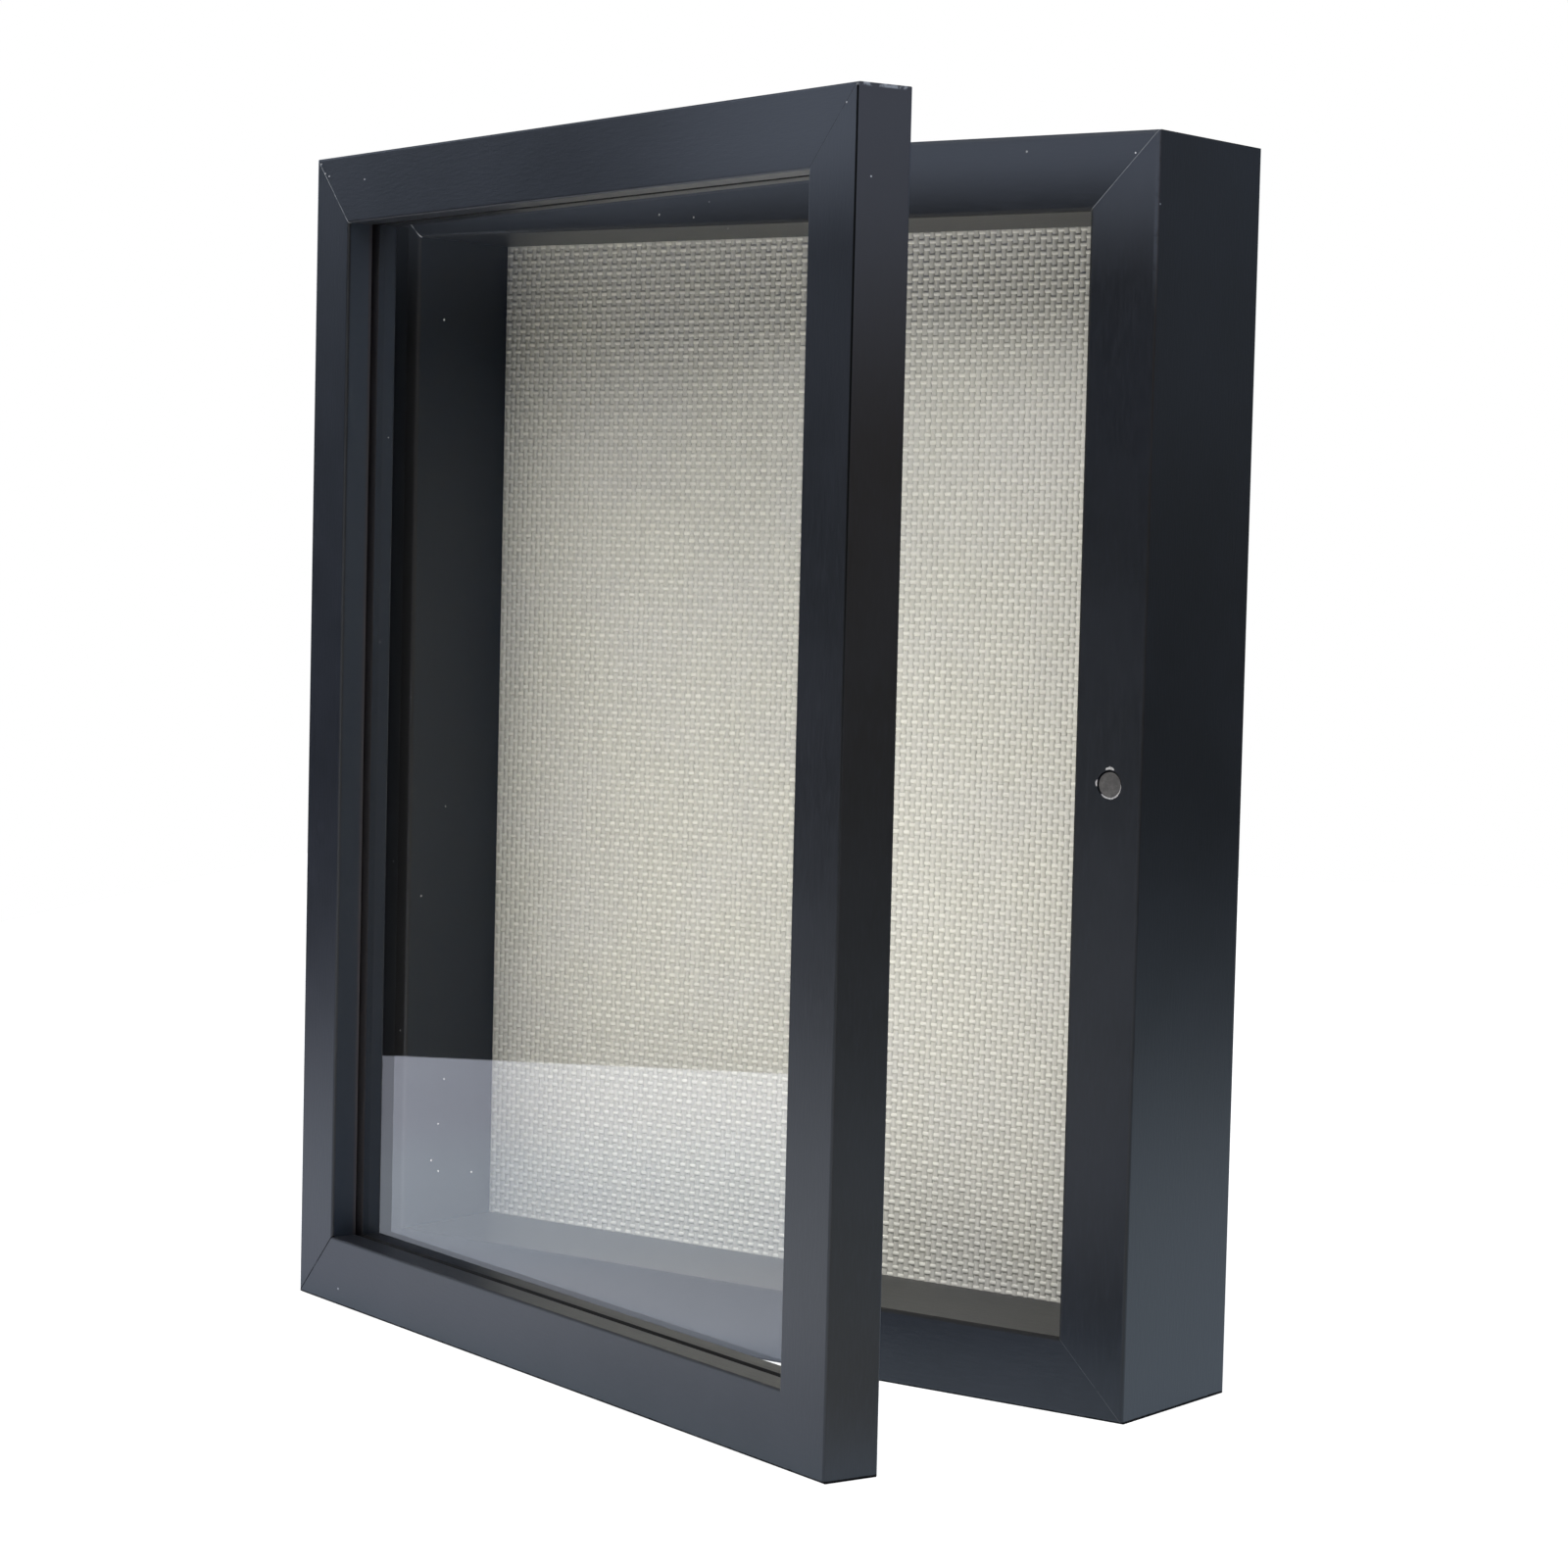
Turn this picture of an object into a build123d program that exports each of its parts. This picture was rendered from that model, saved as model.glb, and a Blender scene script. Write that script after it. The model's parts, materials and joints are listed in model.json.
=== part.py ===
"""A front-opening shadow box for pinned butterflies.

A deep case of mitred, foil-wrapped mouldings holds a linen-covered pin board. A glazed door of mitred
mouldings hangs on two butt hinges at its left side and is held shut by a pair of disc magnets.

+Z is up, +X is to the right seen from the front, and +Y points to the wall. The origin is the middle of
the face that the case stands on. The door is drawn as it stands, opened by door_open_angle.
"""

import math
import os

from build123d import *

os.makedirs("parts", exist_ok=True)

# ------------------------------------------------------------------ driving sizes, in mm and degrees
# Case moulding, round an opening that takes an 11 x 14 in mount
opening_width = 280.0
opening_height = 356.0
case_face = 24.5  # width of the moulding, seen from the front
cavity_depth = 48.0  # from the case's front to the linen
rebate_width = 9.5  # ledge behind the opening, which the pin board lies against
rear_recess = 3.8  # from the back panel to the rear of the moulding
case_edge_round = 1.2  # soft edge that the foil is wrapped round

# Door moulding and its glass
door_face = 23.6
door_edge_round = 0.8
front_lip = 9.6  # moulding in front of the glass groove
rear_lip = 7.1  # moulding behind the glass groove
groove_depth = 6.0
glass_thickness = 2.4
glass_play = 0.3  # each side of the glass, in its groove
glass_end_play = 0.6  # each end of the glass, above and beside it
door_gap = 0.6  # between the case and the closed door
door_rise = 2.0  # of the door's top edge above the case
door_foot_clearance = 0.3  # of the door's bottom edge above the surface the case stands on
door_open_angle = 18.9

# Pin board, its linen and the back panel
board_thickness = 8.0
board_play = 0.5  # each side, in the rebate
linen_thickness = 0.6
linen_flap = 25.0  # turned over the rear of the board
panel_thickness = 3.0
panel_play = 0.6  # each side, in the rebate

# Disc magnets
magnet_diameter = 8.0
magnet_thickness = 3.0
magnet_recess = 0.3  # below the face of the moulding
magnet_hole_play = 0.5  # round the disc
magnet_height = 201.5  # of both magnets' middles above the case's bottom edge
magnet_shift = 0.9  # outwards from the middle of the moulding's face

# Butt hinges
hinge_length = 32.0
hinge_inset = 55.0  # from the case's top or bottom edge to the near end of the hinge
hinge_leaf_reach = 9.5  # of the leaf over the moulding
leaf_thickness = 1.0
leaf_gap = 0.3  # between the two leaves of the closed hinge
knuckle_count = 3
knuckle_gap = 0.3  # between knuckles of different leaves
barrel_clearance = 0.6  # between the barrel and the side of the case
pin_diameter = 2.4
pin_clearance = 0.05  # round the pin, in its knuckles
pin_head_overhang = 0.7  # of the pin's heads over its shank
pin_head_height = 0.8
mortise_play = 0.2  # round the leaf, in its mortise

# Hinge screws
screw_head_diameter = 4.0
screw_shank_diameter = 2.0
screw_length = 10.0
screw_hole_clearance = 0.05
screw_recess_width = 2.2  # of the cross in the screw's head
screw_recess_slot = 0.6
screw_recess_depth = 0.8
screw_end_distance = 7.0  # from the end of the leaf

# V-nails across the mitres, driven in from the rear
nail_wing = 4.5
nail_strip = 0.5
nail_setback = 3.0  # from the outer edges to the nearest nail
nail_pitch = 5.5
nails_per_corner = 2
nail_height = 5.0

# Steel points that hold the back panel in its rebate
point_width = 6.0
point_strip = 0.5
point_bite = 5.0  # driven into the moulding
point_reach = 8.0  # over the panel
points_across = 2
points_up = 3

# Sawtooth hangers with prongs at their ends, and bumpers that keep the case parallel to the wall
hanger_length = 44.0
hanger_height = 9.0
hanger_strip = 0.8
hanger_standoff = 1.2
hanger_foot = 5.0
hanger_ramp = 1.6
hanger_prong = 7.0
hanger_teeth = 11
tooth_depth = 2.2
hanger_spacing = 170.0
bumper_diameter = 10.0
bumper_height = 20.0  # of the bumper's middle above the bottom edge
bumper_edge = 0.8
bumper_clearance = 0.5  # of the bumper's face beyond the hanger

# ------------------------------------------------------------------ sizes that follow from them
rebate_depth = linen_thickness + board_thickness + linen_thickness + panel_thickness + rear_recess
case_depth = cavity_depth + rebate_depth
case_width = opening_width + 2 * case_face
case_height = opening_height + 2 * case_face
case_front = -case_depth / 2
case_rear = case_depth / 2
rear_face = case_face - rebate_width  # width of the moulding's flat rear face

groove_width = glass_thickness + 2 * glass_play
door_thickness = front_lip + groove_width + rear_lip
door_width = case_width
door_height = case_height + door_rise - door_foot_clearance

barrel_radius = pin_diameter / 2 + pin_clearance + leaf_thickness
hinge_offset = barrel_radius + barrel_clearance  # from the hinge axis to the side of the case
leaf_edge = hinge_offset + hinge_leaf_reach
leaf_back = leaf_gap / 2 + leaf_thickness
knuckle_pitch = hinge_length / knuckle_count
hinge_bottoms = (hinge_inset, case_height - hinge_inset - hinge_length)

linen_front = case_front + cavity_depth
board_front = linen_front + linen_thickness
board_rear = board_front + board_thickness
panel_front = board_rear + linen_thickness
panel_rear = panel_front + panel_thickness
rebate_clear_width = opening_width + 2 * rebate_width
rebate_clear_height = opening_height + 2 * rebate_width
linen_width = rebate_clear_width - 2 * board_play
linen_height = rebate_clear_height - 2 * board_play
board_width = linen_width - 2 * linen_thickness
board_height = linen_height - 2 * linen_thickness
middle_height = case_height / 2

# ------------------------------------------------------------------ frames of reference
# Both share the hinge axis as their origin: one stays with the case, the other turns with the door
case_axis = Plane(origin=(-case_width / 2 - hinge_offset, case_front - door_gap / 2, 0))
turn = math.radians(door_open_angle)
door_axis = Plane(origin=case_axis.origin, x_dir=(math.cos(turn), -math.sin(turn), 0), z_dir=(0, 0, 1))


def plane_in(frame, origin, x_dir, z_dir):
    """A plane whose origin and directions are given in the coordinates of frame."""

    def direction(along):
        return frame.x_dir * along[0] + frame.y_dir * along[1] + frame.z_dir * along[2]

    return Plane(origin=frame.origin + direction(origin), x_dir=direction(x_dir), z_dir=direction(z_dir))


def frame_sides(frame, middle_x, front_y, bottom_z, width, height):
    """The four planes that a mitred frame's section is drawn on, with the length of each moulding.

    Each stands at the middle of an outer front edge: local X points into the frame, Y to the rear.
    """
    middle_z = bottom_z + height / 2
    half = width / 2
    return {
        "top": (plane_in(frame, (middle_x, front_y, bottom_z + height), (0, 0, -1), (1, 0, 0)), width),
        "bottom": (plane_in(frame, (middle_x, front_y, bottom_z), (0, 0, 1), (-1, 0, 0)), width),
        "left": (plane_in(frame, (middle_x - half, front_y, middle_z), (1, 0, 0), (0, 0, 1)), height),
        "right": (plane_in(frame, (middle_x + half, front_y, middle_z), (-1, 0, 0), (0, 0, -1)), height),
    }


def cut_mitres(side, length):
    """Cuts both ends of the moulding in the current part to 45 degrees."""
    for end in (1, -1):
        mitre = Plane(origin=side.origin + side.z_dir * (end * length / 2), z_dir=side.x_dir + side.z_dir * end)
        split(bisect_by=mitre, keep=Keep.BOTTOM)


def corner_nails(frame, middle_x, rear_y, bottom_z, width, height):
    """Outlines of the V-nails at the four corners, on the rear face of a mitred frame.

    Each nail's wings run beside the frame's edges, one in each of the two mouldings.
    """
    rear = plane_in(frame, (middle_x, rear_y, bottom_z + height / 2), (1, 0, 0), (0, -1, 0))
    with BuildSketch(rear) as outlines:
        for across in (-1, 1):
            for up in (-1, 1):
                for step in range(nails_per_corner):
                    inset = nail_setback + step * nail_pitch
                    x = across * (width / 2 - inset)
                    y = up * (height / 2 - inset)
                    with Locations((x - across * nail_wing / 2, y - up * nail_strip / 2)):
                        Rectangle(nail_wing, nail_strip)
                    with Locations((x - across * nail_strip / 2, y - up * nail_wing / 2)):
                        Rectangle(nail_strip, nail_wing)
    return outlines.sketch


# ------------------------------------------------------------------ moulding sections
with BuildSketch() as case_section:
    Rectangle(case_face, case_depth, align=(Align.MIN, Align.MIN))
    with Locations((rear_face, cavity_depth)):
        Rectangle(rebate_width, rebate_depth, align=(Align.MIN, Align.MIN), mode=Mode.SUBTRACT)
    soft_corners = case_section.vertices().group_by(Axis.Y)[0]
    soft_corners += case_section.vertices().group_by(Axis.Y)[-1].sort_by(Axis.X)[:1]
    fillet(soft_corners, radius=case_edge_round)

with BuildSketch() as door_section:
    Rectangle(door_face, door_thickness, align=(Align.MIN, Align.MIN))
    with Locations((door_face - groove_depth, front_lip)):
        Rectangle(groove_depth, groove_width, align=(Align.MIN, Align.MIN), mode=Mode.SUBTRACT)
    outer_corners = door_section.vertices().group_by(Axis.Y)[0]
    outer_corners += door_section.vertices().group_by(Axis.Y)[-1]
    fillet(outer_corners, radius=door_edge_round)

# ------------------------------------------------------------------ hinge screws and their places
with BuildPart() as hinge_screw:
    head_depth = (screw_head_diameter - screw_shank_diameter) / 2
    with BuildSketch(Plane.XZ):
        with BuildLine():
            Polyline(
                (0, 0),
                (screw_head_diameter / 2, 0),
                (screw_shank_diameter / 2, -head_depth),
                (screw_shank_diameter / 2, -screw_length),
                (0, -screw_length),
                close=True,
            )
        make_face()
    revolve(axis=Axis.Z)
    with BuildSketch():
        Rectangle(screw_recess_width, screw_recess_slot)
        Rectangle(screw_recess_slot, screw_recess_width)
    extrude(amount=-screw_recess_depth, mode=Mode.SUBTRACT)


def screw_places(frame, side, bottoms=hinge_bottoms):
    """Where the screws' heads lie, on the face of each leaf. side is 1 for the case, -1 for the door."""
    x = hinge_offset + hinge_leaf_reach / 2
    ends = (screw_end_distance, hinge_length - screw_end_distance)
    return [
        plane_in(frame, (x, side * leaf_gap / 2, bottom + end), (1, 0, 0), (0, -side, 0))
        for bottom in bottoms
        for end in ends
    ]


def cut_mortises(frame, side):
    """Lets both hinges' leaves and screws into the moulding in the current part."""
    reach = leaf_edge + mortise_play
    for bottom in hinge_bottoms:
        with BuildSketch(frame.offset(bottom - mortise_play)) as mortise:
            with Locations((reach / 2, 0)):
                Rectangle(reach, 2 * leaf_back)
        extrude(mortise.sketch, amount=hinge_length + 2 * mortise_play, mode=Mode.SUBTRACT)
    with Locations(*screw_places(frame, side)):
        Hole(radius=screw_shank_diameter / 2 + screw_hole_clearance, depth=screw_length)


# ------------------------------------------------------------------ hangers and bumpers
# Each hanger is a stamped strip. Its middle stands off the moulding, its ends are bent into prongs
# that are driven into the top rail, and its lower edge has teeth that catch on a nail.
middle_start = hanger_length / 2 - hanger_foot - hanger_ramp
tooth_pitch = 2 * middle_start / hanger_teeth
tooth_flank = math.hypot(tooth_pitch / 2, tooth_depth)
hanger_z = case_height - rear_face / 2
hangers = {}

for name, x in (("left_hanger", -hanger_spacing / 2), ("right_hanger", hanger_spacing / 2)):
    place = Plane(origin=(x, case_rear, hanger_z), x_dir=(1, 0, 0), z_dir=(0, 0, 1))
    with BuildPart() as sawtooth_hanger:
        with BuildSketch(place.offset(-hanger_height / 2)):
            with BuildLine():
                Polyline(
                    (0, hanger_standoff),
                    (middle_start, hanger_standoff),
                    (hanger_length / 2 - hanger_foot, 0),
                    (hanger_length / 2 - hanger_strip, 0),
                    (hanger_length / 2 - hanger_strip, -hanger_prong),
                    (hanger_length / 2, -hanger_prong),
                    (hanger_length / 2, hanger_strip),
                    (hanger_length / 2 - hanger_foot, hanger_strip),
                    (middle_start, hanger_standoff + hanger_strip),
                    (0, hanger_standoff + hanger_strip),
                    close=True,
                )
            make_face()
            mirror(about=Plane.YZ)
        extrude(amount=hanger_height)
        with BuildSketch(Plane(origin=place.origin, x_dir=(0, 1, 0), z_dir=(1, 0, 0))):
            with BuildLine():
                Polyline(
                    (0, hanger_height / 2),
                    (-hanger_prong, 0),
                    (-hanger_prong, hanger_height / 2),
                    close=True,
                )
            make_face()
            mirror(about=Plane.XZ)
        extrude(amount=hanger_length / 2, both=True, mode=Mode.SUBTRACT)
        with BuildSketch(Plane(origin=place.origin, x_dir=(-1, 0, 0), z_dir=(0, 1, 0))):
            with Locations((0, -hanger_height / 2)):
                with GridLocations(tooth_pitch, 0, hanger_teeth, 1):
                    Triangle(a=tooth_pitch, b=tooth_flank, c=tooth_flank, align=(Align.CENTER, Align.MIN))
        extrude(amount=hanger_standoff + hanger_strip, mode=Mode.SUBTRACT)
    sawtooth_hanger.part.label = name
    export_step(sawtooth_hanger.part, f"parts/{name}.step")
    hangers[name] = sawtooth_hanger.part

with BuildPart() as wall_bumpers:
    with BuildSketch(Plane(origin=(0, case_rear, bumper_height), x_dir=(-1, 0, 0), z_dir=(0, 1, 0))):
        with GridLocations(case_width - rear_face, 0, 2, 1):
            Circle(bumper_diameter / 2)
    extrude(amount=hanger_standoff + hanger_strip + bumper_clearance)
    chamfer(wall_bumpers.edges().group_by(Axis.Y)[-1], length=bumper_edge)
wall_bumpers.part.label = "wall_bumpers"
export_step(wall_bumpers.part, "parts/wall_bumpers.step")

# ------------------------------------------------------------------ steel points over the back panel
with BuildSketch(Plane(origin=(0, panel_rear, middle_height), x_dir=(1, 0, 0), z_dir=(0, -1, 0))) as points:
    point_length = point_bite + point_reach
    point_middle = point_bite - point_length / 2  # beyond the rebate's wall
    row_width = rebate_clear_width + 2 * point_middle
    row_height = rebate_clear_height + 2 * point_middle
    with GridLocations(rebate_clear_width / points_across, row_height, points_across, 2):
        Rectangle(point_width, point_length)
    with GridLocations(row_width, rebate_clear_height / points_up, 2, points_up):
        Rectangle(point_length, point_width)

with BuildPart() as panel_points:
    extrude(points.sketch, amount=-point_strip)
panel_points.part.label = "panel_points"
export_step(panel_points.part, "parts/panel_points.step")

# ------------------------------------------------------------------ case mouldings
case_sides = frame_sides(Plane.XY, 0, case_front, 0, case_width, case_height)
case_nail_outlines = corner_nails(Plane.XY, 0, case_rear, 0, case_width, case_height)
case_magnet_x = (case_width - case_face) / 2 + magnet_shift
magnet_hole_radius = magnet_diameter / 2 + magnet_hole_play
magnet_hole_depth = magnet_thickness + magnet_recess
case_magnet_plane = Plane(origin=(case_magnet_x, case_front, magnet_height), x_dir=(1, 0, 0), z_dir=(0, -1, 0))
case_names = {
    "top": "case_top_rail",
    "bottom": "case_bottom_rail",
    "left": "case_left_stile",
    "right": "case_right_stile",
}

for where, (side, length) in case_sides.items():
    with BuildPart() as case_moulding:
        with BuildSketch(side):
            add(case_section.sketch)
        extrude(amount=length / 2, both=True)
        cut_mitres(side, length)
        extrude(case_nail_outlines, amount=nail_height, mode=Mode.SUBTRACT)
        extrude(points.sketch, amount=-point_strip, mode=Mode.SUBTRACT)
        if where == "left":
            cut_mortises(case_axis, 1)
        if where == "right":
            with Locations(case_magnet_plane):
                Hole(radius=magnet_hole_radius, depth=magnet_hole_depth)
        if where == "top":
            add(hangers.values(), mode=Mode.SUBTRACT)
    case_moulding.part.label = case_names[where]
    export_step(case_moulding.part, f"parts/{case_names[where]}.step")

with BuildPart() as case_corner_nails:
    extrude(case_nail_outlines, amount=nail_height)
case_corner_nails.part.label = "case_corner_nails"
export_step(case_corner_nails.part, "parts/case_corner_nails.step")

with BuildPart() as case_magnet:
    with BuildSketch(case_magnet_plane.offset(-magnet_recess)):
        Circle(magnet_diameter / 2)
    extrude(amount=-magnet_thickness)
case_magnet.part.label = "case_magnet"
export_step(case_magnet.part, "parts/case_magnet.step")

# ------------------------------------------------------------------ pin board, linen and back panel
board_plane = Plane(origin=(0, board_front, middle_height), x_dir=(1, 0, 0), z_dir=(0, -1, 0))

with BuildPart() as pin_board:
    with BuildSketch(board_plane):
        Rectangle(board_width, board_height)
    extrude(amount=-board_thickness)
pin_board.part.label = "pin_board"
export_step(pin_board.part, "parts/pin_board.step")

# The linen lies over the board's front, round its four edges and a flap's width over its rear
with BuildPart() as linen_cover:
    with BuildSketch(board_plane.offset(linen_thickness)):
        Rectangle(linen_width, linen_height)
    extrude(amount=-(board_thickness + 2 * linen_thickness))
    with BuildSketch(board_plane):
        Rectangle(board_width, board_height)
    extrude(amount=-board_thickness, mode=Mode.SUBTRACT)
    with BuildSketch(board_plane.offset(-board_thickness)):
        Rectangle(linen_width - 2 * linen_flap, linen_height - 2 * linen_flap)
    extrude(amount=-linen_thickness, mode=Mode.SUBTRACT)
linen_cover.part.label = "linen_cover"
export_step(linen_cover.part, "parts/linen_cover.step")

with BuildPart() as back_panel:
    with BuildSketch(Plane(origin=(0, panel_front, middle_height), x_dir=(1, 0, 0), z_dir=(0, -1, 0))):
        Rectangle(rebate_clear_width - 2 * panel_play, rebate_clear_height - 2 * panel_play)
    extrude(amount=-panel_thickness)
back_panel.part.label = "back_panel"
export_step(back_panel.part, "parts/back_panel.step")

# ------------------------------------------------------------------ door mouldings and glass
# In the door's own coordinates, whose origin is on the hinge axis
door_middle_x = hinge_offset + door_width / 2
door_rear = -door_gap / 2
door_front = door_rear - door_thickness
door_bottom = door_foot_clearance
door_sides = frame_sides(door_axis, door_middle_x, door_front, door_bottom, door_width, door_height)
door_nail_outlines = corner_nails(door_axis, door_middle_x, door_rear, door_bottom, door_width, door_height)
door_magnet_plane = plane_in(
    door_axis, (hinge_offset + case_width / 2 + case_magnet_x, door_rear, magnet_height), (-1, 0, 0), (0, 1, 0)
)
door_names = {
    "top": "door_top_rail",
    "bottom": "door_bottom_rail",
    "left": "door_hinge_stile",
    "right": "door_latch_stile",
}

for where, (side, length) in door_sides.items():
    with BuildPart() as door_moulding:
        with BuildSketch(side):
            add(door_section.sketch)
        extrude(amount=length / 2, both=True)
        cut_mitres(side, length)
        extrude(door_nail_outlines, amount=nail_height, mode=Mode.SUBTRACT)
        if where == "left":
            cut_mortises(door_axis, -1)
        if where == "right":
            with Locations(door_magnet_plane):
                Hole(radius=magnet_hole_radius, depth=magnet_hole_depth)
    door_moulding.part.label = door_names[where]
    export_step(door_moulding.part, f"parts/{door_names[where]}.step")

with BuildPart() as door_corner_nails:
    extrude(door_nail_outlines, amount=nail_height)
door_corner_nails.part.label = "door_corner_nails"
export_step(door_corner_nails.part, "parts/door_corner_nails.step")

with BuildPart() as door_magnet:
    with BuildSketch(door_magnet_plane.offset(-magnet_recess)):
        Circle(magnet_diameter / 2)
    extrude(amount=-magnet_thickness)
door_magnet.part.label = "door_magnet"
export_step(door_magnet.part, "parts/door_magnet.step")

# The glass stands on the bottom of its groove
groove_inset = door_face - groove_depth
glass_width = door_width - 2 * groove_inset - 2 * glass_end_play
glass_height = door_height - 2 * groove_inset - glass_end_play
glass_bottom = door_bottom + groove_inset
with BuildPart() as door_glass:
    glass_front = door_front + front_lip + glass_play
    with BuildSketch(plane_in(door_axis, (door_middle_x, glass_front, glass_bottom), (1, 0, 0), (0, -1, 0))):
        Rectangle(glass_width, glass_height, align=(Align.CENTER, Align.MIN))
    extrude(amount=-glass_thickness)
door_glass.part.label = "door_glass"
export_step(door_glass.part, "parts/door_glass.step")

# ------------------------------------------------------------------ hinges
# The case's leaf carries the odd knuckles and the pin, the door's leaf the even ones
leaves = {
    "case": (case_axis, 1, range(1, knuckle_count, 2)),
    "door": (door_axis, -1, range(0, knuckle_count, 2)),
}

for bottom, height_name in zip(hinge_bottoms, ("lower", "upper")):
    for owner, (frame, side, other_knuckles) in leaves.items():
        with BuildPart() as hinge_leaf:
            with BuildSketch(frame.offset(bottom)):
                Circle(barrel_radius)
                with Locations((leaf_edge / 2, side * (leaf_gap + leaf_thickness) / 2)):
                    Rectangle(leaf_edge, leaf_thickness)
                Circle(pin_diameter / 2 + pin_clearance, mode=Mode.SUBTRACT)
            extrude(amount=hinge_length)
            for knuckle in other_knuckles:
                with BuildSketch(frame.offset(bottom + knuckle * knuckle_pitch - knuckle_gap / 2)):
                    Rectangle(2 * (barrel_radius + knuckle_gap), 2 * (barrel_radius + knuckle_gap))
                extrude(amount=knuckle_pitch + knuckle_gap, mode=Mode.SUBTRACT)
            with Locations(*screw_places(frame, side, (bottom,))):
                CounterSinkHole(
                    radius=screw_shank_diameter / 2 + screw_hole_clearance,
                    counter_sink_radius=screw_head_diameter / 2 + screw_hole_clearance,
                    counter_sink_angle=90,
                    depth=2 * leaf_thickness,
                )
        hinge_leaf.part.label = f"{height_name}_hinge_{owner}_leaf"
        export_step(hinge_leaf.part, f"parts/{height_name}_hinge_{owner}_leaf.step")

    with BuildPart() as hinge_pin:
        with BuildSketch(case_axis.offset(bottom)):
            Circle(pin_diameter / 2)
        extrude(amount=hinge_length)
        with BuildSketch(case_axis.offset(bottom), case_axis.offset(bottom + hinge_length + pin_head_height)):
            Circle(pin_diameter / 2 + pin_head_overhang)
        extrude(amount=-pin_head_height)
    hinge_pin.part.label = f"{height_name}_hinge_pin"
    export_step(hinge_pin.part, f"parts/{height_name}_hinge_pin.step")

with BuildPart() as case_hinge_screws:
    with Locations(*screw_places(case_axis, 1)):
        add(hinge_screw.part)
case_hinge_screws.part.label = "case_hinge_screws"
export_step(case_hinge_screws.part, "parts/case_hinge_screws.step")

with BuildPart() as door_hinge_screws:
    with Locations(*screw_places(door_axis, -1)):
        add(hinge_screw.part)
door_hinge_screws.part.label = "door_hinge_screws"
export_step(door_hinge_screws.part, "parts/door_hinge_screws.step")
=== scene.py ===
"""Looks of a front-opening butterfly case: foil-wrapped mouldings, a glazed door, a linen board."""

import json
import math
from random import Random

import bmesh
import bpy
from mathutils import Matrix, Vector


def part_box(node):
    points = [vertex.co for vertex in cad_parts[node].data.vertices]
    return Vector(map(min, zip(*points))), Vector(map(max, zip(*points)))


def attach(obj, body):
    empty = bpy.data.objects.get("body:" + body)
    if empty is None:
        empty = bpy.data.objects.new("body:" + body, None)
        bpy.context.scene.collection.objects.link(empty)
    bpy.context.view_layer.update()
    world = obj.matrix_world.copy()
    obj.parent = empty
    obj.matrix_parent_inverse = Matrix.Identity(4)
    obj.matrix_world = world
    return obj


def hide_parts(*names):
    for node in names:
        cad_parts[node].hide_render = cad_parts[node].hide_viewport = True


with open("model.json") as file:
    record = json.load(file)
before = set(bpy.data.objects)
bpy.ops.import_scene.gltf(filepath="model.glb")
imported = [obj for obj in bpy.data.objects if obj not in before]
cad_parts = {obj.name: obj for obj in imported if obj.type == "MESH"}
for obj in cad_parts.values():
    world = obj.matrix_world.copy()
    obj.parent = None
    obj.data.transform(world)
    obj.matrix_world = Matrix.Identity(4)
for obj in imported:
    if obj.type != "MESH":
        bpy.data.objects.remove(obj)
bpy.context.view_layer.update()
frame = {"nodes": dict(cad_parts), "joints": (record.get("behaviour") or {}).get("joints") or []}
MM = 0.001

# ------------------------------------------------------------ places taken from the frame
case_low, case_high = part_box("case_top_rail")
case_front, case_rear = case_low.y, case_high.y
case_top = case_high.z
case_half = case_high.x
case_face = case_top - case_low.z  # width of the case's moulding, seen from the front
linen_low, linen_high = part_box("linen_cover")
magnet_low, magnet_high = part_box("case_magnet")
magnet_middle = (magnet_low + magnet_high) / 2
door_hinge = frame["joints"][0]
hinge_axis = Vector(door_hinge["pos_m"])
# How far the door stands open, clockwise seen from above
door_turn = math.radians(door_hinge["range_deg"][0])

# The door as it is drawn, before it is turned about the hinge axis: the sizes of its solids
door_left = 2.85 * MM
door_right = door_left + 2 * case_half
door_front = -20.0 * MM
door_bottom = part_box("door_bottom_rail")[0].z
door_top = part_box("door_top_rail")[1].z
door_face = 23.6 * MM
groove_front, groove_rear = -10.4 * MM, -7.4 * MM


# ------------------------------------------------------------ node trees written as expressions
class Signal:
    """A socket of a node tree. Arithmetic on it adds Math nodes to that tree."""

    def __init__(self, nodes, socket):
        self.nodes = nodes
        self.socket = socket

    def maths(self, operation, *values):
        return self.nodes.add("ShaderNodeMath", {"operation": operation}, dict(enumerate(values)))

    def __add__(self, other):
        return self.maths("ADD", self, other)

    __radd__ = __add__

    def __sub__(self, other):
        return self.maths("SUBTRACT", self, other)

    def __rsub__(self, other):
        return self.maths("SUBTRACT", other, self)

    def __mul__(self, other):
        return self.maths("MULTIPLY", self, other)

    __rmul__ = __mul__

    def __truediv__(self, other):
        return self.maths("DIVIDE", self, other)

    def __pow__(self, other):
        return self.maths("POWER", self, other)

    def __abs__(self):
        return self.maths("ABSOLUTE", self)

    def above(self, edge):
        return self.maths("GREATER_THAN", self, edge)

    def below(self, edge):
        return self.maths("LESS_THAN", self, edge)

    def larger(self, other):
        return self.maths("MAXIMUM", self, other)

    def smaller(self, other):
        return self.maths("MINIMUM", self, other)

    def cosine(self):
        return self.maths("COSINE", self)

    def eased(self, low, high):
        """0 up to low and 1 from high, with a smooth step between; low may be the larger."""
        return self.nodes.add(
            "ShaderNodeMapRange",
            {"interpolation_type": "SMOOTHSTEP"},
            {"Value": self, "From Min": low, "From Max": high},
        )


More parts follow.
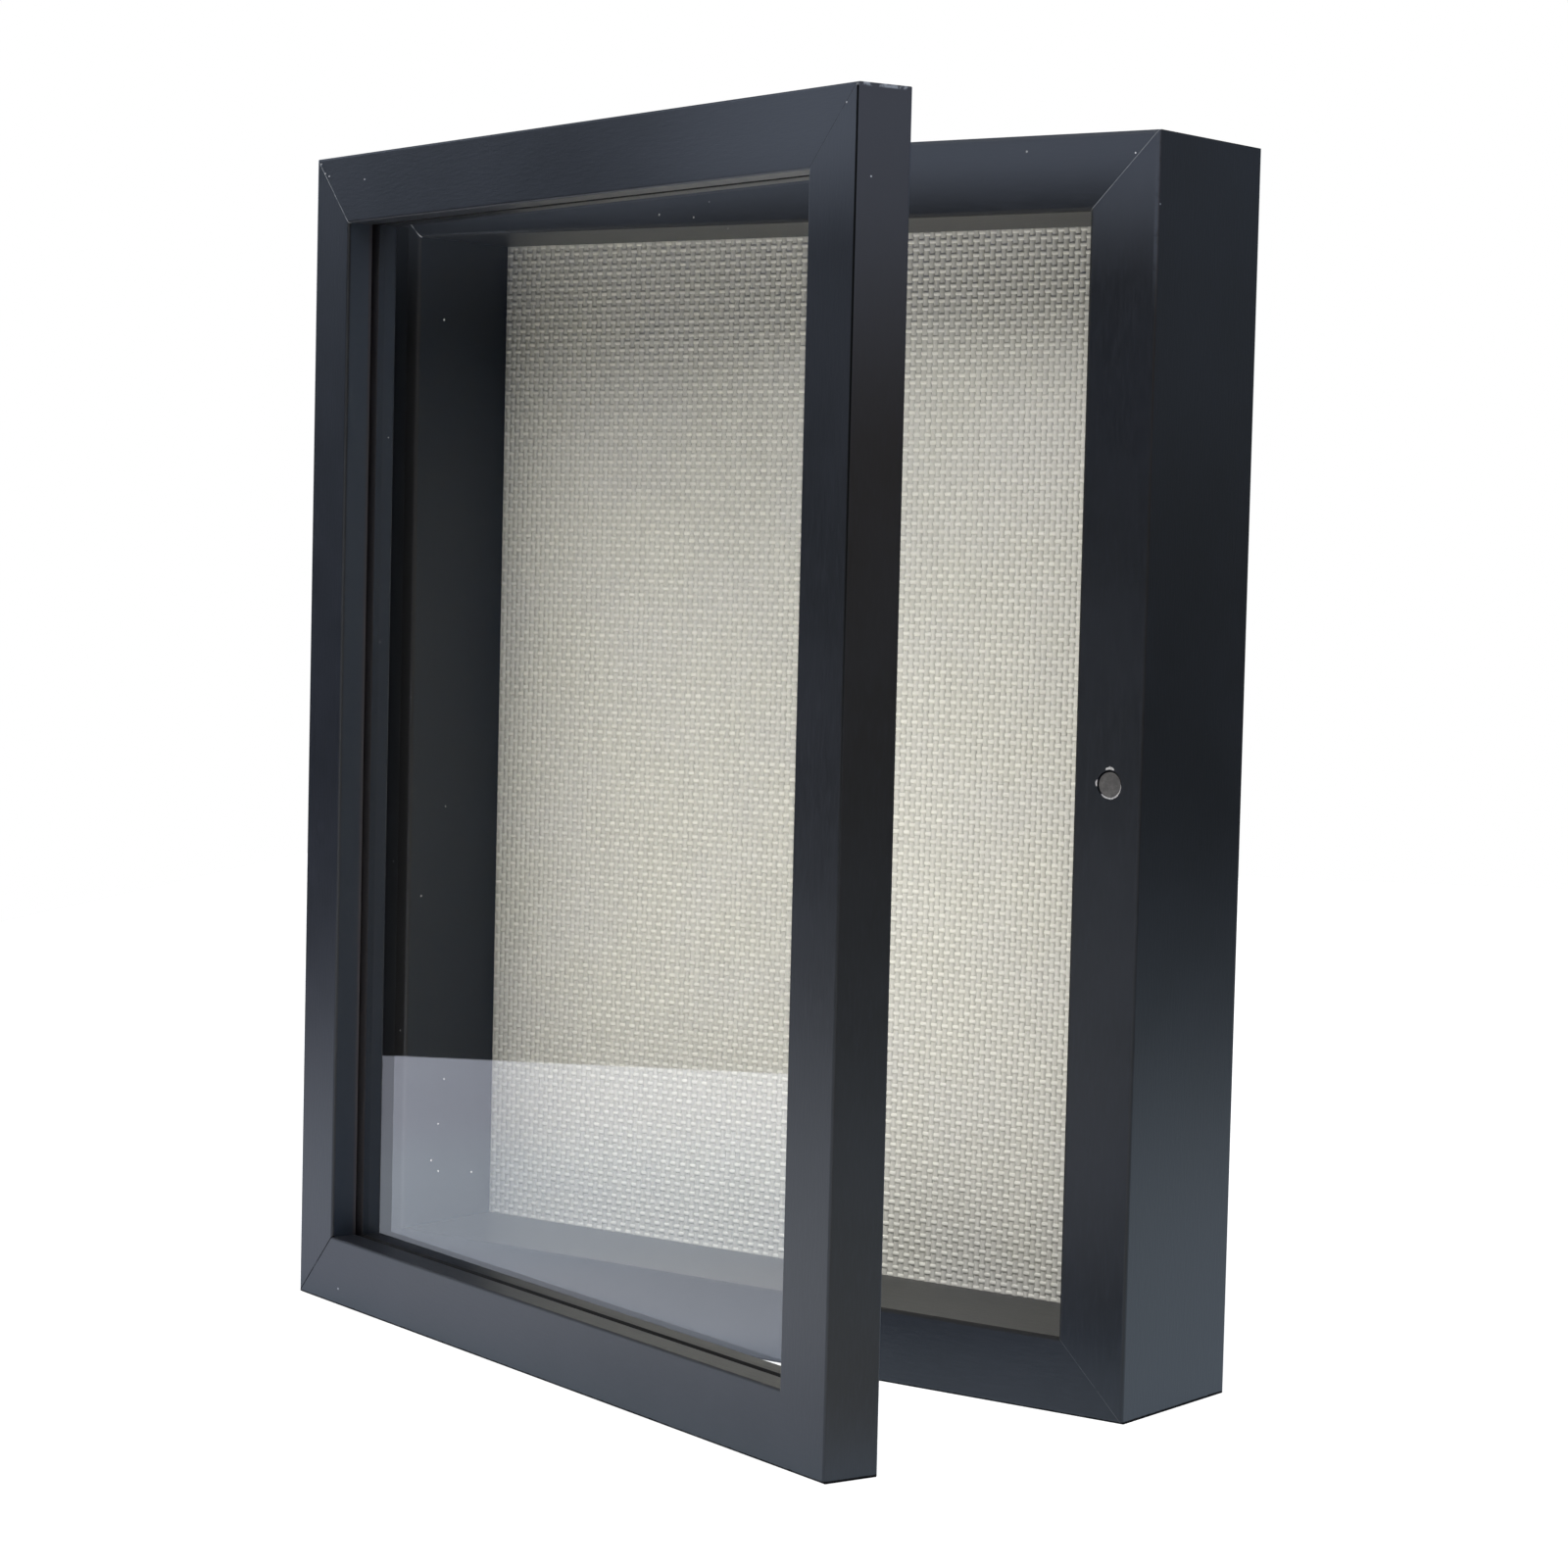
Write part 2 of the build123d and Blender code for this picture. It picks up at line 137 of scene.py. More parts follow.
class Nodes:
    """A node tree under construction."""

    def __init__(self, tree):
        self.tree = tree
        tree.nodes.clear()

    def add(self, kind, settings=None, sockets=None, out=0):
        """Adds a node: first its settings, then the values or links of its sockets."""
        node = self.tree.nodes.new(kind)
        for name, setting in (settings or {}).items():
            setattr(node, name, setting)
        for name, value in (sockets or {}).items():
            if isinstance(value, Signal):
                self.tree.links.new(value.socket, node.inputs[name])
            elif value is not None:
                node.inputs[name].default_value = value
        return Signal(self, node.outputs[out]) if len(node.outputs) else node

    def again(self, signal, name):
        """Another output of the node that signal comes from."""
        return Signal(self, signal.socket.node.outputs[name])

    def mixed(self, share, plain, other, blend="MIX"):
        return self.add(
            "ShaderNodeMix",
            {"data_type": "RGBA", "blend_type": blend},
            {0: share, 6: plain, 7: other},
            out=2,
        )

    def axes(self, vector):
        """The three parts of a vector."""
        parts = self.add("ShaderNodeSeparateXYZ", None, {0: vector})
        return parts, self.again(parts, "Y"), self.again(parts, "Z")

    def noise(self, vector, scale, detail, roughness):
        return self.add(
            "ShaderNodeTexNoise",
            None,
            {"Vector": vector, "Scale": scale, "Detail": detail, "Roughness": roughness},
        )

    def stretched(self, vector, scale):
        settings = {"vector_type": "POINT"}
        return self.add("ShaderNodeMapping", settings, {"Vector": vector, "Scale": scale})

    def bump(self, height, depth, onto=None):
        """The normal of a relief this deep, laid onto the normal of another."""
        sockets = {"Height": height, "Distance": depth, "Normal": onto}
        return self.add("ShaderNodeBump", None, sockets)


def linear(red, green, blue):
    """The linear colour, with alpha, of a colour written in display values from 0 to 255."""
    return tuple(
        v / 12.92 if v <= 0.04045 else ((v + 0.055) / 1.055) ** 2.4
        for v in (red / 255, green / 255, blue / 255)
    ) + (1.0,)


def grey(level):
    return (level, level, level, 1.0)


class Finish(Nodes):
    """A material: its pattern is worked out in Object coordinates, which are the frame's own."""

    def __init__(self, name):
        self.material = bpy.data.materials.new(name)
        self.material.use_nodes = True
        super().__init__(self.material.node_tree)
        self.place = self.add("ShaderNodeTexCoord", out="Object")

    def surface(self, **sockets):
        """The principled surface, its sockets named with underscores for spaces."""
        named = {name.replace("_", " "): value for name, value in sockets.items()}
        return self.add("ShaderNodeBsdfPrincipled", None, named)

    def done(self, shader):
        self.add("ShaderNodeOutputMaterial", None, {"Surface": shader})
        return self.material

    def place_on_door(self):
        """The place on the door as it is drawn, before it is turned about the hinge axis."""
        return self.add(
            "ShaderNodeMapping",
            {"vector_type": "TEXTURE"},
            {"Vector": self.place, "Location": tuple(hinge_axis), "Rotation": (0, 0, door_turn)},
        )

    def specks(self, vector, per_metre, size, share):
        """Sparse round specks. Size is a share of their spacing, and share how many are there."""
        cells = self.add("ShaderNodeTexVoronoi", None, {"Vector": vector, "Scale": per_metre})
        chance = self.axes(self.again(cells, "Color"))[0]
        return cells.below(size) * chance.below(share)

    def lint(self, vector, places, radius):
        """Single specks at these places."""
        specks = 0.0
        for at in places:
            away = self.add(
                "ShaderNodeVectorMath", {"operation": "DISTANCE"}, {0: vector, 1: at}, out="Value"
            )
            specks = away.eased(radius, radius * 0.5) + specks
        return specks


# ------------------------------------------------------------ the foil on the mouldings
FOIL_DARK = linear(14, 17, 23)
FOIL_LIGHT = linear(19, 22, 29)
FOIL_GRAIN = linear(25, 28, 36)
# Painted highlight laid on the tops of the case and the door
FOIL_TOP_HIGHLIGHT = linear(61, 66, 76)
FOIL_RUBBED = linear(66, 70, 79)
FOIL_CHIP = linear(150, 154, 160)
# Painted dark reflection on the rounded edge round the opening
FOIL_EDGE_SHADE = linear(13, 14, 17)
FOIL_SEAM = linear(3, 3, 4)
# Painted shade along the lower outer edges
FOIL_LOWER_SHADE = linear(6, 6, 8)
# Painted reflection on the inner faces: bluer, and on the door painted shade low and painted light
# high
DOOR_INSIDE_PAINTED_SHADE = linear(6, 16, 29)
DOOR_INSIDE_PAINTED_LIGHT = linear(37, 44, 55)
CASE_INSIDE_PAINTED_REFLECTION = linear(7, 20, 35)
# Painted light on the front of the case's left stile, where the open door shades it
CASE_FRONT_PAINTED_LIGHT = linear(36, 36, 38)
HAIRLINE = linear(136, 140, 144)
BARE_EDGE = linear(246, 246, 246)
JOINT = linear(5, 5, 6)
DUST = linear(186, 188, 192)
BOARD_LIGHT = linear(150, 110, 78)
BOARD_DARK = linear(104, 74, 52)
# Painted shade: the raw board in the glass groove, laid much darker than the board is
GROOVE_SHADED_PALE = linear(50, 45, 47)
GROOVE_SHADED_DARK = linear(34, 31, 33)
GROOVE_SHADE = linear(7, 6, 6)
CUT_EDGE = linear(42, 35, 38)

# The corner joints that show as a line: their corner, tone, half width in millimetres and strength
CASE_MITRES = [
    ("top_right", HAIRLINE, 0.17, 0.65),
    ("top_left", BARE_EDGE, 0.4, 0.9),
    ("bottom_right", HAIRLINE, 0.14, 0.2),
]
DOOR_MITRES = [
    ("top_left", HAIRLINE, 0.2, 0.9),
    ("top_right", JOINT, 0.2, 0.5),
    ("bottom_left", JOINT, 0.36, 1.0),
]

# Specks of lint: where they are while the door stands at rest
FOIL_LINT_RADIUS = 0.36 * MM
DOOR_LINT = [
    (-0.1686, -0.0530, 0.4051),
    (-0.1656, -0.0540, 0.4017),
    (-0.1628, -0.0550, 0.4005),
    (-0.1380, -0.0635, 0.3978),
    (0.1351, -0.1570, 0.4014),
    (0.1419, -0.1535, 0.3803),
]
CASE_LINT = [(0.1560, -0.0320, 0.3980), (0.1645, -0.0304, 0.3821)]


class MouldingFoil(Finish):
    """Satin charcoal foil over fibreboard, laid on tone over tone. Each tone finds its place by its
    distance from the edges of the case or of the door."""

    def __init__(self, name, upright, on_door):
        super().__init__(name)
        self.upright, self.on_door = upright, on_door
        if on_door:
            self.drawn = self.place_on_door()
            middle, half = (door_left + door_right) / 2, (door_right - door_left) / 2
            low, high, front, self.face = door_bottom, door_top, door_front, door_face
        else:
            self.drawn = self.place
            middle, half = 0.0, case_half
            low, high, front, self.face = 0.0, case_top, case_front, case_face
        x, self.depth, z = self.axes(self.drawn)
        self.across = x - middle
        self.from_side = half - abs(self.across)
        self.from_top = high - z
        self.from_bottom = z - low
        self.from_front = self.depth - front
        self.from_rim = self.from_side.smaller(self.from_top).smaller(self.from_bottom)
        self.from_opening = self.face - self.from_rim  # 0 on the inner face, more outwards

        grain_place = self.stretched(self.drawn, (40, 40, 6) if upright else (6, 40, 40))
        self.grain = self.noise(grain_place, scale=26.0, detail=3.0, roughness=0.6)
        self.pores = self.noise(grain_place, scale=75.0, detail=2.0, roughness=0.5)
        self.clouds = self.noise(self.drawn, scale=22.0, detail=3.0, roughness=0.55)
        self.broken = self.noise(self.drawn, scale=240.0, detail=3.0, roughness=0.65)
        self.ragged = self.noise(self.drawn, scale=420.0, detail=2.0, roughness=0.6)
        self.tint = self.mixed(self.clouds.eased(0.35, 0.68), FOIL_DARK, FOIL_LIGHT)
        self.paint(self.grain.eased(0.42, 0.75) * 0.55, FOIL_GRAIN)

    def paint(self, share, tone):
        """Lays a tone over what is there already."""
        self.tint = self.mixed(share, self.tint, tone)

    def paint_top_highlight(self):
        """A painted highlight at the top: on the door, more to its right and on its latch side, and
        on the case's front.
        """
        if self.on_door:
            top_highlight = self.from_top.eased(50 * MM, 12 * MM) * self.across.eased(0.0, 150 * MM) * 0.9
            latch_side = self.from_side.below(0.2 * MM) * self.across.above(0.0)
            top_highlight = top_highlight.larger(latch_side * self.from_top.eased(110 * MM, 6 * MM))
        else:
            reach = 52 * MM if self.upright else 28 * MM
            on_front = self.from_front.below(1.0 * MM)
            top_highlight = self.from_top.eased(reach, 4 * MM) * on_front * self.from_side.above(0.2 * MM)
        # Painted highlight: the tops are laid paler
        self.paint(top_highlight * 0.8, FOIL_TOP_HIGHLIGHT)

    def paint_stile_faces(self):
        """The inner faces are bluer, a painted reflection; the door's are painted shade low and
        painted light high.
        The case's left stile front is painted paler, a painted light against the open door's shade.
        """
        inside = abs(self.from_opening).below(0.1 * MM) * self.from_front.above(1.2 * MM)
        if self.on_door:
            # Painted shade low and painted light high on the door's inner faces
            up = self.from_top.eased(300 * MM, 20 * MM)
            self.paint(inside, self.mixed(up, DOOR_INSIDE_PAINTED_SHADE, DOOR_INSIDE_PAINTED_LIGHT))
        else:
            # Painted bluish reflection on the case's inner faces
            self.paint(inside, CASE_INSIDE_PAINTED_REFLECTION)
            # Painted light on the left stile's front
            paler = self.from_opening.eased(-24 * MM, -16 * MM) * self.from_front.below(1.0 * MM)
            self.paint(paler * self.across.below(0.0), CASE_FRONT_PAINTED_LIGHT)

    def paint_outer_edges(self):
        """A few chips on the outer edges. The case's right front edge is rubbed grey at its top."""
        on_rim = self.from_rim.below(2.4 * MM) * self.from_front.below(2.4 * MM)
        chips = self.specks(self.drawn, per_metre=90.0, size=0.07, share=0.12) * on_rim
        self.paint(chips * 0.6, FOIL_CHIP)
        if self.upright and not self.on_door:
            on_corner = self.from_side.eased(1.2 * MM, 0.7 * MM)
            on_corner = on_corner * self.from_front.eased(1.4 * MM, 0.6 * MM)
            rubbed = on_corner * self.across.above(0.0) * self.from_top.eased(60 * MM, 30 * MM)
            self.paint(rubbed * self.broken.eased(0.3, 0.5) * 0.6, FOIL_RUBBED)

    def paint_opening_edge_shade(self):
        """A darker band round the opening's edge, a painted dark reflection on its rounded edge, a
        little uneven on the case.
        """
        if self.on_door:
            edge_shade = self.from_opening.eased(0.8 * MM, 0.4 * MM)
            edge_shade = edge_shade * self.from_front.below(0.8 * MM) * 0.4
        else:
            edge_shade = (self.from_opening + self.ragged * (0.9 * MM)).eased(1.9 * MM, 1.3 * MM)
            edge_shade = edge_shade * self.from_front.below(1.3 * MM)
            lower_left = self.across.below(60 * MM) * self.from_bottom.below(60 * MM)
            edge_shade = edge_shade * self.across.above(-100 * MM) * (1.0 - lower_left)
        # Painted dark reflection round the opening's edge
        self.paint(edge_shade * 0.85, FOIL_EDGE_SHADE)
        return edge_shade

    def paint_top_rail_edge(self):
        """Rubbed pale along the case's top rail, on its inner edge at the left end."""
        edge = self.from_opening.eased(0.8 * MM, 0.3 * MM) * abs(self.from_opening).below(1.0 * MM)
        edge = edge * self.from_front.below(0.8 * MM) * self.from_top.below(self.face * 1.1)
        self.paint(edge * self.across.below(-90 * MM) * 0.06, FOIL_CHIP)

    def paint_lap(self):
        """The foil's lap on the door's latch edge: a dark seam, with flakes worn off at its top."""
        at_latch = self.across.above(0.0)
        on_corner = self.from_side.below(0.9 * MM) * self.from_front.below(0.9 * MM) * at_latch
        seam = abs(self.from_side - self.from_front).eased(0.55 * MM, 0.25 * MM) * on_corner
        seam = seam * self.from_top.eased(340 * MM, 80 * MM)
        self.paint(seam * 0.95, FOIL_SEAM)
        worn = self.from_top.eased(1.3 * MM, 0.7 * MM) * self.from_side.below(0.9 * MM) * at_latch
        flakes = worn * self.broken.eased(0.44, 0.56) * self.ragged.eased(0.40, 0.55)
        self.paint(flakes * 0.85, FOIL_CHIP)
        return seam

    def paint_lower_edge_shade(self):
        """The lower outer edge is dark and a little ragged: painted shade for the table's shadow it
        looks down on.
        """
        outside = self.from_front.below(1.2 * MM).larger(self.from_side.below(0.2 * MM))
        lower_shade = (self.from_bottom + self.ragged * (0.5 * MM)).eased(1.2 * MM, 0.7 * MM) * outside
        # Painted shade on the lower outer edge
        self.paint(lower_shade * 0.85, FOIL_LOWER_SHADE)
        return lower_shade

    def paint_mitres(self):
        """Fine lines across the front's corners. Gives back the pale ones and the dark ones."""
        hairline = 0.0
        shut = 0.0
        for corner, tone, width, strength in DOOR_MITRES if self.on_door else CASE_MITRES:
            level = self.from_top if "top" in corner else self.from_bottom
            half_of_frame = self.across.above(0.0) if "right" in corner else self.across.below(0.0)
            line = abs(self.from_side - level).eased(width * MM, width * 0.4 * MM) * half_of_frame
            line = line * level.below(self.face * 1.02) * self.broken.eased(0.25, 0.5)
            line = line * self.from_front.below(1.3 * MM)
            self.paint(line * strength, tone)
            if tone == JOINT:
                shut = line * strength + shut
            else:
                hairline = line + hairline
        return hairline, shut

    def paint_dust(self):
        """Fine dust, and the few specks of lint that stand out."""
        dust = self.specks(self.drawn, per_metre=95.0, size=0.035, share=0.05)
        self.paint(dust * 0.45, DUST)
        lint = self.lint(self.place, DOOR_LINT if self.on_door else CASE_LINT, FOIL_LINT_RADIUS)
        self.paint(lint, DUST)

    def paint_groove(self, board):
        """The raw board in the door's glass groove, painted dark as the groove's shade, and the
        foil's cut edge beside it.
        On the rails the groove and the rear inner edge are painted plain shade.
        """
        spread = 0.02 * MM
        if not self.upright:
            spread = 0.6 * MM + self.across.eased(-120 * MM, 120 * MM) * (1.4 * MM)
        past_face = self.from_opening.above(0.05 * MM) * self.from_opening.below(7.0 * MM)
        raw = self.depth.above(groove_front - spread) * self.depth.below(groove_rear + spread)
        raw = raw * past_face
        if self.upright:
            # Painted shade in the stiles' groove
            self.paint(raw, self.mixed(board, GROOVE_SHADED_DARK, GROOVE_SHADED_PALE))
            before_groove = groove_front - self.depth + self.ragged * (0.6 * MM)
            cut = before_groove.eased(1.8 * MM, 0.8 * MM) * self.depth.below(groove_front)
            cut = cut * abs(self.from_opening).below(0.2 * MM)
            self.paint(cut * self.across.below(0.0) * 0.7, CUT_EDGE)
        else:
            # Painted shade in the rails' groove and on their rear inner edge
            rear_edge = self.depth.above(-1.0 * MM) * abs(self.from_opening).below(0.9 * MM)
            self.paint(raw.larger(rear_edge), GROOVE_SHADE)
        return raw

    def paint_rebate(self, board):
        """The raw board in the case's rebate, behind the linen, and on its rear face."""
        behind_linen = self.depth.above(linen_low.y + 0.2 * MM)
        behind_linen = behind_linen * self.from_opening.below(9.7 * MM)
        rear = self.depth.above(case_rear - 0.35 * MM)
        rear = rear * self.from_rim.above(self.ragged * (0.5 * MM) + 3.0 * MM)
        raw = behind_linen.larger(rear)
        self.paint(raw, self.mixed(board, BOARD_DARK, BOARD_LIGHT))
        return raw

    def finished(self):
        """The material with all its tones, and the gloss and relief that go with them."""
        self.paint_top_highlight()
        if self.upright:
            self.paint_stile_faces()
        self.paint_outer_edges()
        edge_shade = self.paint_opening_edge_shade()
        if not (self.on_door or self.upright):
            self.paint_top_rail_edge()
        seam = self.paint_lap() if self.on_door and self.upright else 0.0
        lower_shade = self.paint_lower_edge_shade()
        hairline, shut = self.paint_mitres()
        self.paint_dust()
        board = self.noise(self.drawn, scale=900.0, detail=3.0, roughness=0.7)
        raw = self.paint_groove(board) if self.on_door else self.paint_rebate(board)

        sheen = 0.29 + self.grain * 0.08 + self.clouds * 0.06 + edge_shade * 0.3 + seam * 0.5 + raw * 0.4
        sheen = sheen + (shut + lower_shade) * 0.6
        relief = self.bump(self.grain + self.pores * 0.5, 0.035 * MM)
        relief = self.bump(raw * board - (hairline + shut) * 0.6, 0.12 * MM, relief)
        gloss_lost = (seam + shut + lower_shade).smaller(1.0) * 0.9
        return self.done(
            self.surface(
                Base_Color=self.tint, Roughness=sheen, Metallic=gloss_lost, Normal=relief, IOR=1.5
            )
        )


# ------------------------------------------------------------ the other materials
# The weft's paler tones against the warp's are painted light on the weft's floats
WEFT_DARK = linear(204, 203, 195)
WEFT_LIGHT = linear(216, 215, 207)
WARP_DARK = linear(184, 183, 176)
WARP_LIGHT = linear(194, 193, 186)
LINEN_PATCH = linear(194, 193, 193)
LINEN_FIBRE = linear(164, 160, 149)
LINEN_FLECK = linear(146, 130, 106)
LINEN_GROUND_DARK = linear(160, 158, 151)
LINEN_GROUND_LIGHT = linear(186, 184, 176)

GLASS_HEAD_ON = 0.04  # the share of light that one face of the pane mirrors, looked at straight on
GLASS_SLANT_POWER = 3.9
GLASS_LINT_RADIUS = 0.4 * MM
GLASS_LINT = [
    (-0.0877, -0.0703, 0.0879),
    (-0.0910, -0.0691, 0.0718),
    (-0.0951, -0.0677, 0.0585),
    (-0.0904, -0.0693, 0.0555),
    (-0.0689, -0.0767, 0.0585),
]


def linen_finish(name, weft):
    """Unbleached linen. Each yarn has its own tone, with flecks along it. The weft is paler, a
    painted light on its floats.
    """
    f = Finish(name)
    along_yarn = (28, 1, 400) if weft else (450, 1, 28)
    along_fibre = (500, 2600, 2600) if weft else (2600, 2600, 500)
    dark, light = (WEFT_DARK, WEFT_LIGHT) if weft else (WARP_DARK, WARP_LIGHT)
    yarn_tone = f.noise(f.stretched(f.place, along_yarn), scale=1.0, detail=2.0, roughness=0.6)
    patches = f.noise(f.place, scale=28.0, detail=3.0, roughness=0.6)
    fibres = f.noise(f.stretched(f.place, along_fibre), scale=1.0, detail=2.0, roughness=0.6)
    tint = f.mixed(yarn_tone.eased(0.3, 0.72), dark, light)
    tint = f.mixed(patches.eased(0.35, 0.7) * 0.3, tint, LINEN_PATCH)
    tint = f.mixed(fibres.eased(0.45, 0.8) * 0.2, tint, LINEN_FIBRE)
    fleck = f.specks(f.place, per_metre=60.0, size=0.03, share=0.12)
    tint = f.mixed(fleck * 0.5, tint, LINEN_FLECK)
    sheen = 0.85 - yarn_tone * 0.1
    relief = f.bump(fibres, 0.05 * MM)
    fuzz = {"Sheen_Weight": 0.15, "Sheen_Roughness": 0.4}
    return f.done(f.surface(Base_Color=tint, Roughness=sheen, Normal=relief, **fuzz))


def linen_ground_finish():
    """The shaded side of the cloth, seen between its yarns and where it wraps the board."""
    f = Finish("linen_ground")
    weave = f.noise(f.stretched(f.place, (450, 450, 400)), scale=1.0, detail=2.0, roughness=0.6)
    tint = f.mixed(weave, LINEN_GROUND_DARK, LINEN_GROUND_LIGHT)
    relief = f.bump(weave, 0.2 * MM)
    return f.done(f.surface(Base_Color=tint, Roughness=0.9 - weave * 0.08, Normal=relief))


def glass_finish():
    """Clear float glass. Each face mirrors more at a slant and lets the rest through, and a little
    dust lies on it."""
    f = Finish("float_glass")
    smear = f.noise(f.place, scale=18.0, detail=4.0, roughness=0.6)
    slant = f.add("ShaderNodeLayerWeight", None, {"Blend": 0.5}, out="Facing")
    mirrored = slant**GLASS_SLANT_POWER * (1.0 - GLASS_HEAD_ON) + GLASS_HEAD_ON
    clear = f.add("ShaderNodeBsdfTransparent", None, {"Color": grey(0.995)})
    mirror = f.add("ShaderNodeBsdfGlossy", None, {"Color": grey(1.0), "Roughness": 0.0})
    pane = f.add("ShaderNodeMixShader", None, {0: mirrored, 1: clear, 2: mirror})
    dust = f.specks(f.place, per_metre=110.0, size=0.04, share=0.16) * smear.eased(0.3, 0.6)
    lint = f.lint(f.place, GLASS_LINT, GLASS_LINT_RADIUS)
    speck = f.add("ShaderNodeBsdfDiffuse", None, {"Color": grey(0.75)})
    dusty = (dust * 0.6).larger(lint * 0.7)
    return f.done(f.add("ShaderNodeMixShader", None, {0: dusty, 1: pane, 2: speck}))


def metal_finish(name, light, dark, roughness, scale, brushed=(1, 1, 1), tarnish=None):
    """Plated or polished metal with brushed lines and handling marks."""
    f = Finish(name)
    lines = f.noise(f.stretched(f.place, brushed), scale=scale, detail=3.0, roughness=0.6)
    marks = f.noise(f.place, scale=160.0, detail=3.0, roughness=0.6)
    tint = f.mixed(lines.eased(0.3, 0.75), dark, light)
    if tarnish:
        tint = f.mixed(marks.eased(0.5, 0.72) * 0.6, tint, tarnish)
    sheen = roughness + marks * 0.16 + lines * 0.08
    relief = f.bump(lines, 0.02 * MM)
    return f.done(f.surface(Base_Color=tint, Metallic=1.0, Roughness=sheen, Normal=relief))


def board_finish(name, light, dark, scale, roughness, depth):
    """Hardboard, foam board and rubber: a mottled body colour with a fine relief."""
    f = Finish(name)
    fine = f.noise(f.place, scale=scale, detail=3.0, roughness=0.65)
    broad = f.noise(f.place, scale=30.0, detail=2.0, roughness=0.5)
    tint = f.mixed(fine.eased(0.3, 0.7), dark, light)
    tint = f.mixed(broad.eased(0.4, 0.7) * 0.25, tint, dark)
    return f.done(
        f.surface(Base_Color=tint, Roughness=roughness + fine * 0.08, Normal=f.bump(fine, depth))
    )


case_rail_foil = MouldingFoil("foil_case_rails", upright=False, on_door=False).finished()
case_stile_foil = MouldingFoil("foil_case_stiles", upright=True, on_door=False).finished()
door_rail_foil = MouldingFoil("foil_door_rails", upright=False, on_door=True).finished()
door_stile_foil = MouldingFoil("foil_door_stiles", upright=True, on_door=True).finished()
weft_linen = linen_finish("linen_weft", weft=True)
warp_linen = linen_finish("linen_warp", weft=False)
ground_linen = linen_ground_finish()
float_glass = glass_finish()
magnet_nickel = metal_finish(
    "magnet_nickel",
    light=linear(128, 125, 122),
    dark=linear(108, 105, 103),
    roughness=0.45,
    scale=900.0,
    tarnish=linear(96, 93, 91),
)
hinge_brass = metal_finish(
    "hinge_brass",
    light=linear(206, 176, 110),
    dark=linear(178, 146, 84),
    roughness=0.28,
    scale=320.0,
    brushed=(1, 1, 8),
    tarnish=linear(134, 104, 62),
)
zinc_plate = metal_finish(
    "zinc_plate",
    light=linear(198, 202, 206),
    dark=linear(160, 164, 168),
    roughness=0.32,
    scale=260.0,
    brushed=(8, 1, 1),
)
bright_steel = metal_finish(
    "bright_steel",
    light=linear(190, 190, 190),
    dark=linear(150, 150, 150),
    roughness=0.34,
    scale=500.0,
    brushed=(1, 1, 6),
)
hardboard = board_finish(
    "hardboard",
    light=linear(122, 88, 60),
    dark=linear(92, 64, 43),
    scale=1400.0,
    roughness=0.62,
    depth=0.08 * MM,
)
foam_board = board_finish(
    "foam_board",
    light=linear(236, 234, 228),
    dark=linear(214, 212, 205),
    scale=1800.0,
    roughness=0.75,
    depth=0.05 * MM,
)
torn_edge = board_finish(
    "torn_foil",
    light=linear(182, 181, 184),
    dark=linear(132, 131, 134),
    scale=1500.0,
    roughness=0.6,
    depth=0.03 * MM,
)
bumper_rubber = board_finish(
    "bumper_rubber",
    light=linear(62, 60, 60),
    dark=linear(44, 43, 43),
    scale=900.0,
    roughness=0.6,
    depth=0.02 * MM,
)

NODE_FINISHES = {
    case_rail_foil: ["case_top_rail", "case_bottom_rail"],
    case_stile_foil: ["case_left_stile", "case_right_stile"],
    door_rail_foil: ["door_top_rail", "door_bottom_rail"],
    door_stile_foil: ["door_hinge_stile", "door_latch_stile"],
    float_glass: ["door_glass"],
    magnet_nickel: ["case_magnet", "door_magnet"],
    hinge_brass: [
        "lower_hinge_case_leaf",
        "upper_hinge_case_leaf",
        "lower_hinge_pin",
        "upper_hinge_pin",
        "lower_hinge_door_leaf",
        "upper_hinge_door_leaf",
        "case_hinge_screws",
        "door_hinge_screws",
    ],
    zinc_plate: ["left_hanger", "right_hanger", "panel_points"],
    bright_steel: ["case_corner_nails", "door_corner_nails"],
    hardboard: ["back_panel"],
    foam_board: ["pin_board"],
    bumper_rubber: ["wall_bumpers"],
}
for finish, names in NODE_FINISHES.items():
    for name in names:
        mesh = frame["nodes"][name].data
        mesh.materials.clear()
        mesh.materials.append(finish)


# ------------------------------------------------------------ pieces
def piece_from(name, mesh, body, finish=None):
    """A mesh whose place is in its points, as a piece that rides on a body."""
    thing = bpy.data.objects.new(name, mesh)
    bpy.context.scene.collection.objects.link(thing)
    if finish:
        mesh.materials.clear()
        mesh.materials.append(finish)
    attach(thing, body)
    return thing


def join_rings(shell, ring, following):
    """Four faces between two rings of four points."""
    for k in range(4):
        shell.faces.new((ring[k], ring[(k + 1) % 4], following[(k + 1) % 4], following[k]))


def finished_shell(name, shell):
    """The mesh of a shell, with its faces turned outwards."""
    bmesh.ops.recalc_face_normals(shell, faces=shell.faces)
    mesh = bpy.data.meshes.new(name)
    shell.to_mesh(mesh)
    shell.free()
    return mesh


